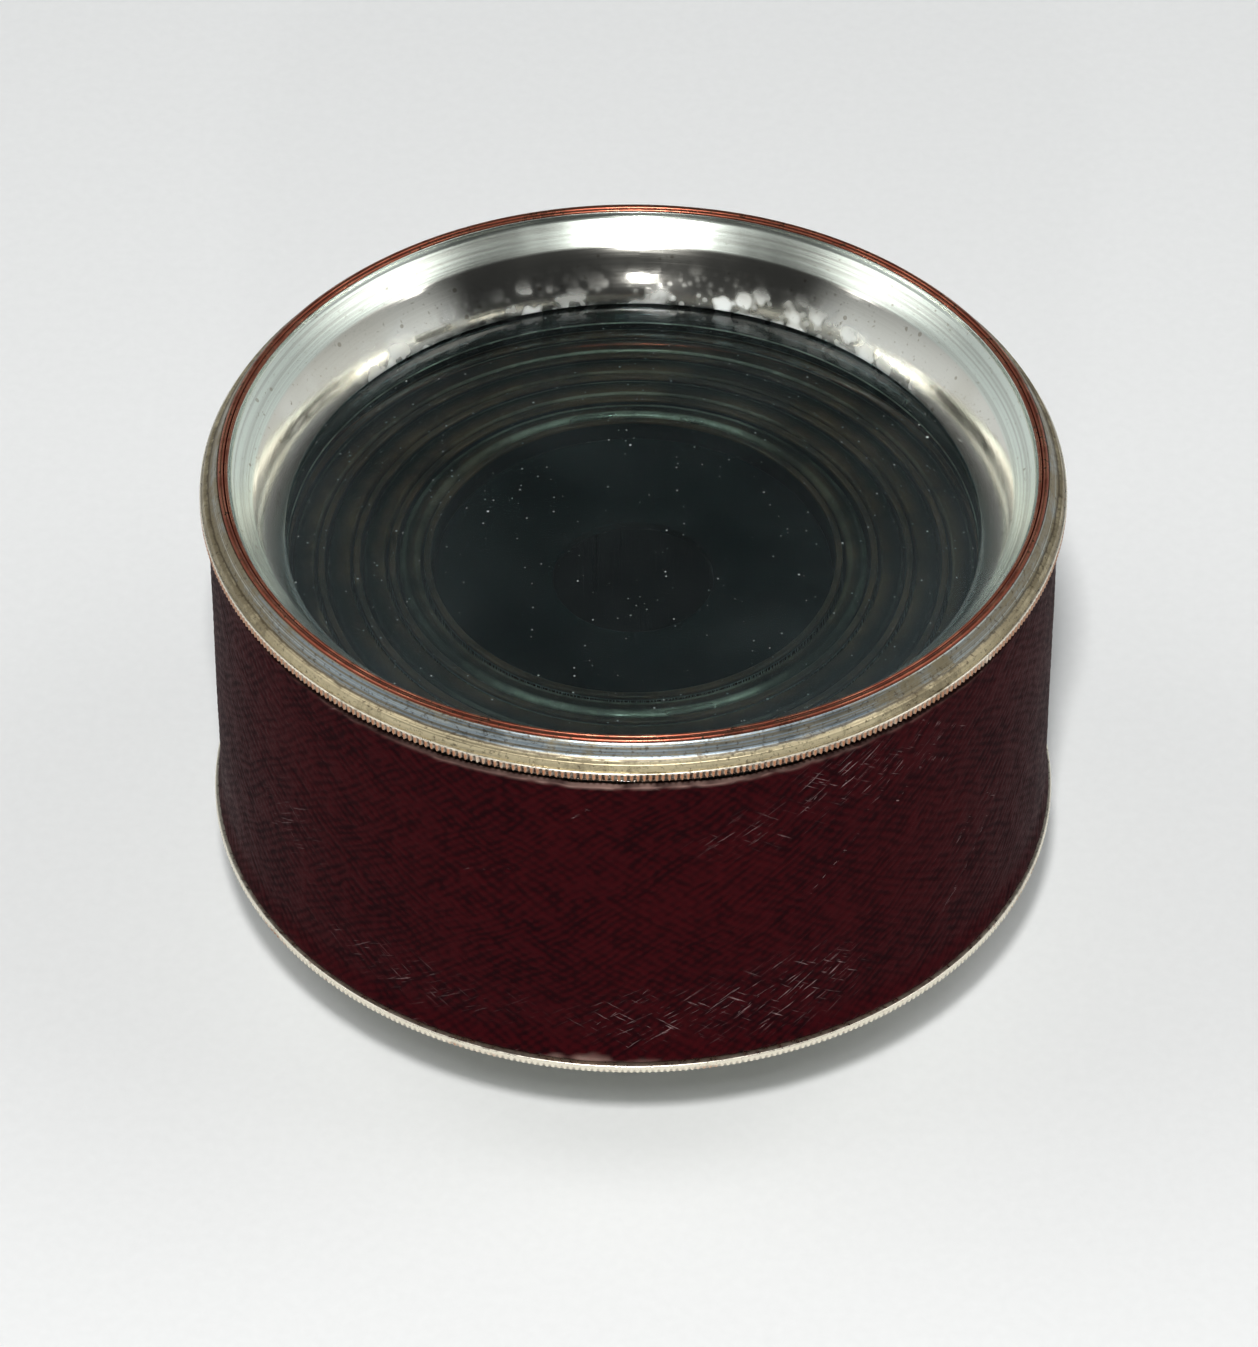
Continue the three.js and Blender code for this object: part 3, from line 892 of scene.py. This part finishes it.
def dish(lip_inner):
    """The dish, with its silver carried up to the copper lip."""
    corners = [tuple(c) for c in cad_section("dish_collar")]
    heights = [height for _, height in corners]
    top, lip_top = max(heights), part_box("lip_ring")[1].z / MM
    rim = heights.index(top)  # the outer corner of the dish's flat top; the inner one is next
    carried_up = [
        corners[rim],
        (lip_inner + 0.14, top + 0.05),
        (lip_inner + 0.12, lip_top - 0.25),  # behind the lip
        (lip_inner, lip_top - 0.22),
        (lip_inner - 0.18, top + 0.1),  # down to the land
    ]
    outline = corners[:rim] + carried_up + corners[rim + 2:]
    step_radius = corners[rim + 2][0]
    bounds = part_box("dish_collar")
    material = dish_silver(step_radius * MM, bounds[0].z, bounds[1].z)
    section = soften(np.array(outline), fillet=0.22)
    uneven = waviness(seed=8, amount=0.015)
    turned("dish_turned", "dish_collar", material, section, steps=384, reshape=uneven)


# ---- leather -----------------------------------------------------------------------

def value_noise(u, v, seed):
    """Smooth noise in 0..1 over the plane, one random value per whole step."""
    random = np.random.default_rng(seed)
    size = 509
    table = random.random((size, size))
    iu, iv = np.floor(u).astype(int), np.floor(v).astype(int)
    fu, fv = u - iu, v - iv
    fu, fv = fu * fu * (3 - 2 * fu), fv * fv * (3 - 2 * fv)
    a, b = table[iu % size, iv % size], table[(iu + 1) % size, iv % size]
    c, d = table[iu % size, (iv + 1) % size], table[(iu + 1) % size, (iv + 1) % size]
    return (a * (1 - fu) + b * fu) * (1 - fv) + (c * (1 - fu) + d * fu) * fv


def grain_lines(u, v, slope, pitch, seed):
    """Rows of a hatched grain along one slope: 0 in the creases, 1 on the ridges."""
    angle = math.radians(slope)
    along = u * math.cos(angle) + v * math.sin(angle)
    across = -u * math.sin(angle) + v * math.cos(angle)
    across = across + value_noise(u / 5, v / 5, seed + 1)
    across = across + 0.35 * value_noise(along / 1.5, across / 0.8, seed + 2)
    wave = 0.5 + 0.5 * np.cos(2 * math.pi * across / pitch)
    strength = 0.2 + 0.8 * value_noise(along / 1.8, across / 1.2, seed)
    return 1 - strength * (1 - wave)


# Rubbed places on the leather: degrees from the front, height in mm, half width in
# degrees, half height in mm, strength.
RUBBED = [
    (-30, 19, 20, 3.0, 0.45),
    (6, 19, 12, 3.0, 0.9),
    (22, 20, 12, 4.0, 0.85),
    (18, 40, 12, 3.0, 0.5),
    (32, 43, 10, 3.0, 0.9),
    (-52, 28, 8, 6.0, 0.4),
    (120, 20, 25, 5.0, 0.6),
    (-110, 40, 22, 6.0, 0.5),
    (200, 34, 20, 6.0, 0.5),
]

# Single scratches: (degrees from the front, height in mm) points along each.
SCRATCHES = [
    [(-7, 42.5), (-3, 44.5)],
    [(-22, 34), (-15, 35.5)],
    [(3, 17), (11, 20.5)],
    [(8, 16), (13, 18)],
    [(15, 18.5), (22, 22.5)],
    [(25, 31), (32, 36)],
    [(33, 38), (43, 45)],
    [(38, 37.5), (48, 44)],
    [(36, 44.5), (48, 38.5)],
    [(42, 45.5), (51, 41)],
    [(28, 42), (33, 44)],
    [(21, 39), (27, 43)],
    [(-4, 18), (3, 22.5)],
    [(0, 15.5), (9, 21)],
    [(18, 16), (27, 22)],
    [(50, 28), (53, 30), (57, 30.5), (59, 29)],
    [(57, 28), (53, 24.5), (47, 20.5)],
    [(140, 30), (152, 36)],
    [(-95, 24), (-84, 30)],
]


def rubbed_places(degrees, height):
    """How rubbed each point is by the places listed above, from 0 to 1."""
    wear = np.zeros(np.broadcast(degrees, height).shape)
    for centre, level, half_width, half_height, strength in RUBBED:
        turn = (degrees - centre + 180) % 360 - 180
        spread = (turn / half_width) ** 2 + ((height - level) / half_height) ** 2
        wear = np.maximum(wear, strength * np.exp(-spread))
    return wear


def scratched(degrees, height, outer):
    """1 along each of the scratches listed above, falling off within a hair's width."""
    half_width = 0.16
    mark = np.zeros(np.broadcast(degrees, height).shape)
    for scratch in SCRATCHES:
        for (start, low), (end, high) in zip(scratch, scratch[1:]):
            x = np.radians((degrees - start + 180) % 360 - 180) * outer
            length_x, length_y = math.radians(end - start) * outer, high - low
            share = (x * length_x + (height - low) * length_y) / (length_x ** 2 + length_y ** 2)
            share = np.clip(share, 0, 1)
            away = np.hypot(x - share * length_x, height - low - share * length_y)
            mark = np.maximum(mark, np.exp(-(away / half_width) ** 2))
    return mark


LEATHER_STEPS = 1200  # facets round the drum
LEATHER_ROWS = 156  # rows up its face
EDGE_ROWS = 4  # rows across each cut edge
# Reliefs of the leather, in millimetres.
GRAIN_DEPTH = 0.07
BULGE = 0.1  # slow unevenness of the hide
LIFT = 0.1  # the foot stands off the tube near the front
FLARE = 0.36  # the whole foot spreads to meet the rear ring
SEAM_DEPTH = 0.3
SCRATCH_DEPTH = 0.03
RAGGED = 0.22  # how unevenly the top edge was cut


def leather_grain(u, v):
    """Two crossed hatchings broken by small pebbles: 0 in the creases, 1 on the ridges."""
    hatching = grain_lines(u, v, 40, 0.72, 21) * grain_lines(u, v, -36, 0.8, 31)
    pebbles = value_noise(u / 0.5, v / 0.5, 41)
    return np.clip(0.6 * hatching + 0.4 * pebbles, 0, 1)


def lifted_foot(u, v, low, from_front):
    """Where the foot of the leather has come away a little, just left of the front."""
    lifted = np.exp(-((from_front + 4) / 9) ** 2) * np.exp(-(v - low) / 0.7)
    return lifted * value_noise(u / 1.1, v / 0.8, 81)


def leather_wear(u, v, degrees, low, high, scratches):
    """Rubbed places, scuffed edges and single scratches, from 0 to about 1."""
    scuffs = value_noise(u / 3.0, v / 2.2, 61)
    near_edge = np.minimum(v - low, high - v)
    wear = rubbed_places(degrees, v) * (0.55 + 0.45 * scuffs)
    wear = np.maximum(wear, 0.55 * np.exp(-near_edge / 0.4) * scuffs)
    return np.maximum(wear, 0.05 + 1.1 * scratches * (scratches > 0.25))


def leather_cover():
    """The leather: grained outside, raw cut edges, and a butted seam at the back."""
    corners = cad_section("leather_cover")
    inner, outer = corners[:, 0].min(), corners[:, 0].max()
    low, high = corners[:, 1].min(), corners[:, 1].max()
    heights = np.linspace(low, high, LEATHER_ROWS)
    turn = around(LEATHER_STEPS)[:, None]
    degrees = np.degrees(turn + SEAM_ANGLE)
    from_front = (degrees + 180) % 360 - 180
    u, v = np.broadcast_arrays(turn * outer, heights[None, :])

    grain = leather_grain(u, v)
    lifted = lifted_foot(u, v, low, from_front)
    scratches = scratched(degrees, v, outer) * value_noise(u / 0.5, v / 0.5, 91) ** 0.5
    seam_gap = np.minimum(turn, 2 * math.pi - turn) * outer
    seam = np.exp(-(seam_gap / 0.22) ** 2)
    flare = FLARE * np.exp(-((v - low) / 1.4) ** 2)
    face = outer - GRAIN_DEPTH - BULGE
    radius = face + GRAIN_DEPTH * grain + BULGE * value_noise(u / 14, v / 9, 51) + flare
    radius = radius + LIFT * lifted - SEAM_DEPTH * seam - SCRATCH_DEPTH * scratches

    # Raw hide shows at the lifted foot and, mostly near the front, along the top edge.
    frayed = 0.12 + 0.88 * np.exp(-(from_front / 24) ** 2)
    top_edge = np.clip(1 - (high - v) / 0.28, 0, 1) * value_noise(u / 0.8, v, 71)
    cut = np.maximum(np.clip(1.5 * lifted - 0.3, 0, 1), frayed * top_edge)

    # The section goes up the face, in over the top edge and back out under the foot.
    once_round = u[:, :1]
    level = np.zeros_like(once_round)
    ragged = RAGGED * value_noise(once_round / 1.3, level, 71)
    inward = face + (inner - face) * np.linspace(0.1, 1, EDGE_ROWS)
    edge_radius = np.repeat(inward[None, :], LEATHER_STEPS, axis=0)
    all_radius = np.hstack([radius, edge_radius, edge_radius[:, ::-1]])
    face_height = heights - ragged * np.clip(heights - high + 1, 0, 1)
    top_height = np.full_like(edge_radius, high) - ragged
    all_height = np.hstack([face_height, top_height, np.full_like(edge_radius, low)])

    blank = np.zeros((LEATHER_STEPS, 2 * EDGE_ROWS))
    raw = np.full((LEATHER_STEPS, 2 * EDGE_ROWS), 0.5)
    raw[:, :EDGE_ROWS] = 0.75 * frayed * value_noise(once_round / 0.9, level, 101) ** 0.5
    attributes = {
        "grain": np.hstack([grain, blank]),
        "wear": np.hstack([leather_wear(u, v, degrees, low, high, scratches), blank]),
        "cut": np.hstack([cut, raw]),
    }
    points, faces, uvs = sweep(all_radius, all_height, start=SEAM_ANGLE)
    mesh_piece("leather", "leather_cover", points, faces, uvs, attributes, morocco_leather())


# ---- the whole glass ---------------------------------------------------------------

STOP_RING_POLISH = (0.1, 0.8, 0.15, 0.35, 1.0)  # by handling, for draws 1 to 5


def make_barrel():
    """The outer tube with its ferrule, bush, leather and the thin milled rear ring."""
    leather_cover()
    plate = silver_plate("barrel_silver", tarnish=0.5)
    turned("barrel_tube_turned", "barrel_tube", plate)
    turned("front_ferrule_turned", "front_ferrule", plate)
    turned("rear_bush_turned", "rear_bush", plate)
    milling = milled_metal("rear_milling", copper=0.45, grime=0.5)
    milled_ring("rear_ring_milled", "rear_ring", milling, depth=0.08, smooth_edge=0.44)


def make_bezel():
    """The lens mount. The beads of the lip are narrower than the CAD lip, and the cove
    and the dish close up to them."""
    inset_outside, inset_inside = 0.35, 0.13
    lip_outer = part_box("lip_ring")[1].x / MM - inset_outside
    lip_inner = cad_section("lip_ring")[:, 0].min() + inset_inside
    milling = milled_metal("front_milling", copper=0.85, grime=1.0)
    milled_ring("bezel_ring_milled", "bezel_ring", milling, depth=0.28, smooth_edge=0.16)
    cove(lip_outer)
    dish(lip_inner)
    lip(lip_inner, lip_outer)
    turned("lens_retainer_turned", "lens_retainer", black_lacquer("retainer_lacquer"))


def make_lenses():
    """The front pair and the eye lens. The front one is dustiest, since it lies open."""
    ground_lens("front_lens_ground", "front_lens", lens_glass("front_glass", dust=1.0))
    ground_lens("rear_lens_ground", "rear_lens", lens_glass("rear_glass", dust=0.3))
    ground_lens("eye_lens_ground", "eye_lens", lens_glass("eye_glass", dust=0.3))


def stop_ring(node):
    """The front rim of one draw tube. The smallest tube's has a well rounded shoulder."""
    number = int(node.split("_")[1])
    smallest = number == len(STOP_RING_POLISH)
    tube_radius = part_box(node.replace("_stop_ring", "_tube"))[1].x
    material = black_lacquer(node + "_lacquer", tube_radius, STOP_RING_POLISH[number - 1])
    section = soften(cad_section(node), fillet=0.7 if smallest else 0.3, steps=8)
    uneven = waviness(seed=16, amount=0.01)
    turned(node + "_turned", node, material, section, reshape=uneven)


def draw_tube(node):
    """One draw tube, plated outside. Its paint starts in the middle of its thin wall."""
    outer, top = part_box(node)[1].x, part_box(node)[1].z
    mid_wall = outer - 0.3 * MM
    turned(node + "_turned", node, draw_plate(node + "_plate", mid_wall, top))


def make_draws():
    """The five nested draw tubes with their stop rings and collars, and the eyepiece."""
    collars = silver_plate("collar_silver", tarnish=0.45)
    for node in sorted(BODY_OF):
        if not node.startswith("draw_"):
            continue
        if node.endswith("_tube"):
            draw_tube(node)
        elif node.endswith("_stop_ring"):
            stop_ring(node)
        else:
            turned(node + "_turned", node, collars)
    stop_lacquer = black_lacquer("field_stop_lacquer", bare=0.0)
    turned("field_stop_turned", "field_stop", stop_lacquer)
    turned("eye_lens_ring_turned", "eye_lens_ring", black_lacquer("eye_ring_lacquer"))
    turned("eye_cup_turned", "eye_cup", silver_plate("cup_silver", tarnish=0.6, copper=0.8))


make_camera()
make_studio()
make_floor()
make_barrel()
make_bezel()
make_lenses()
make_draws()
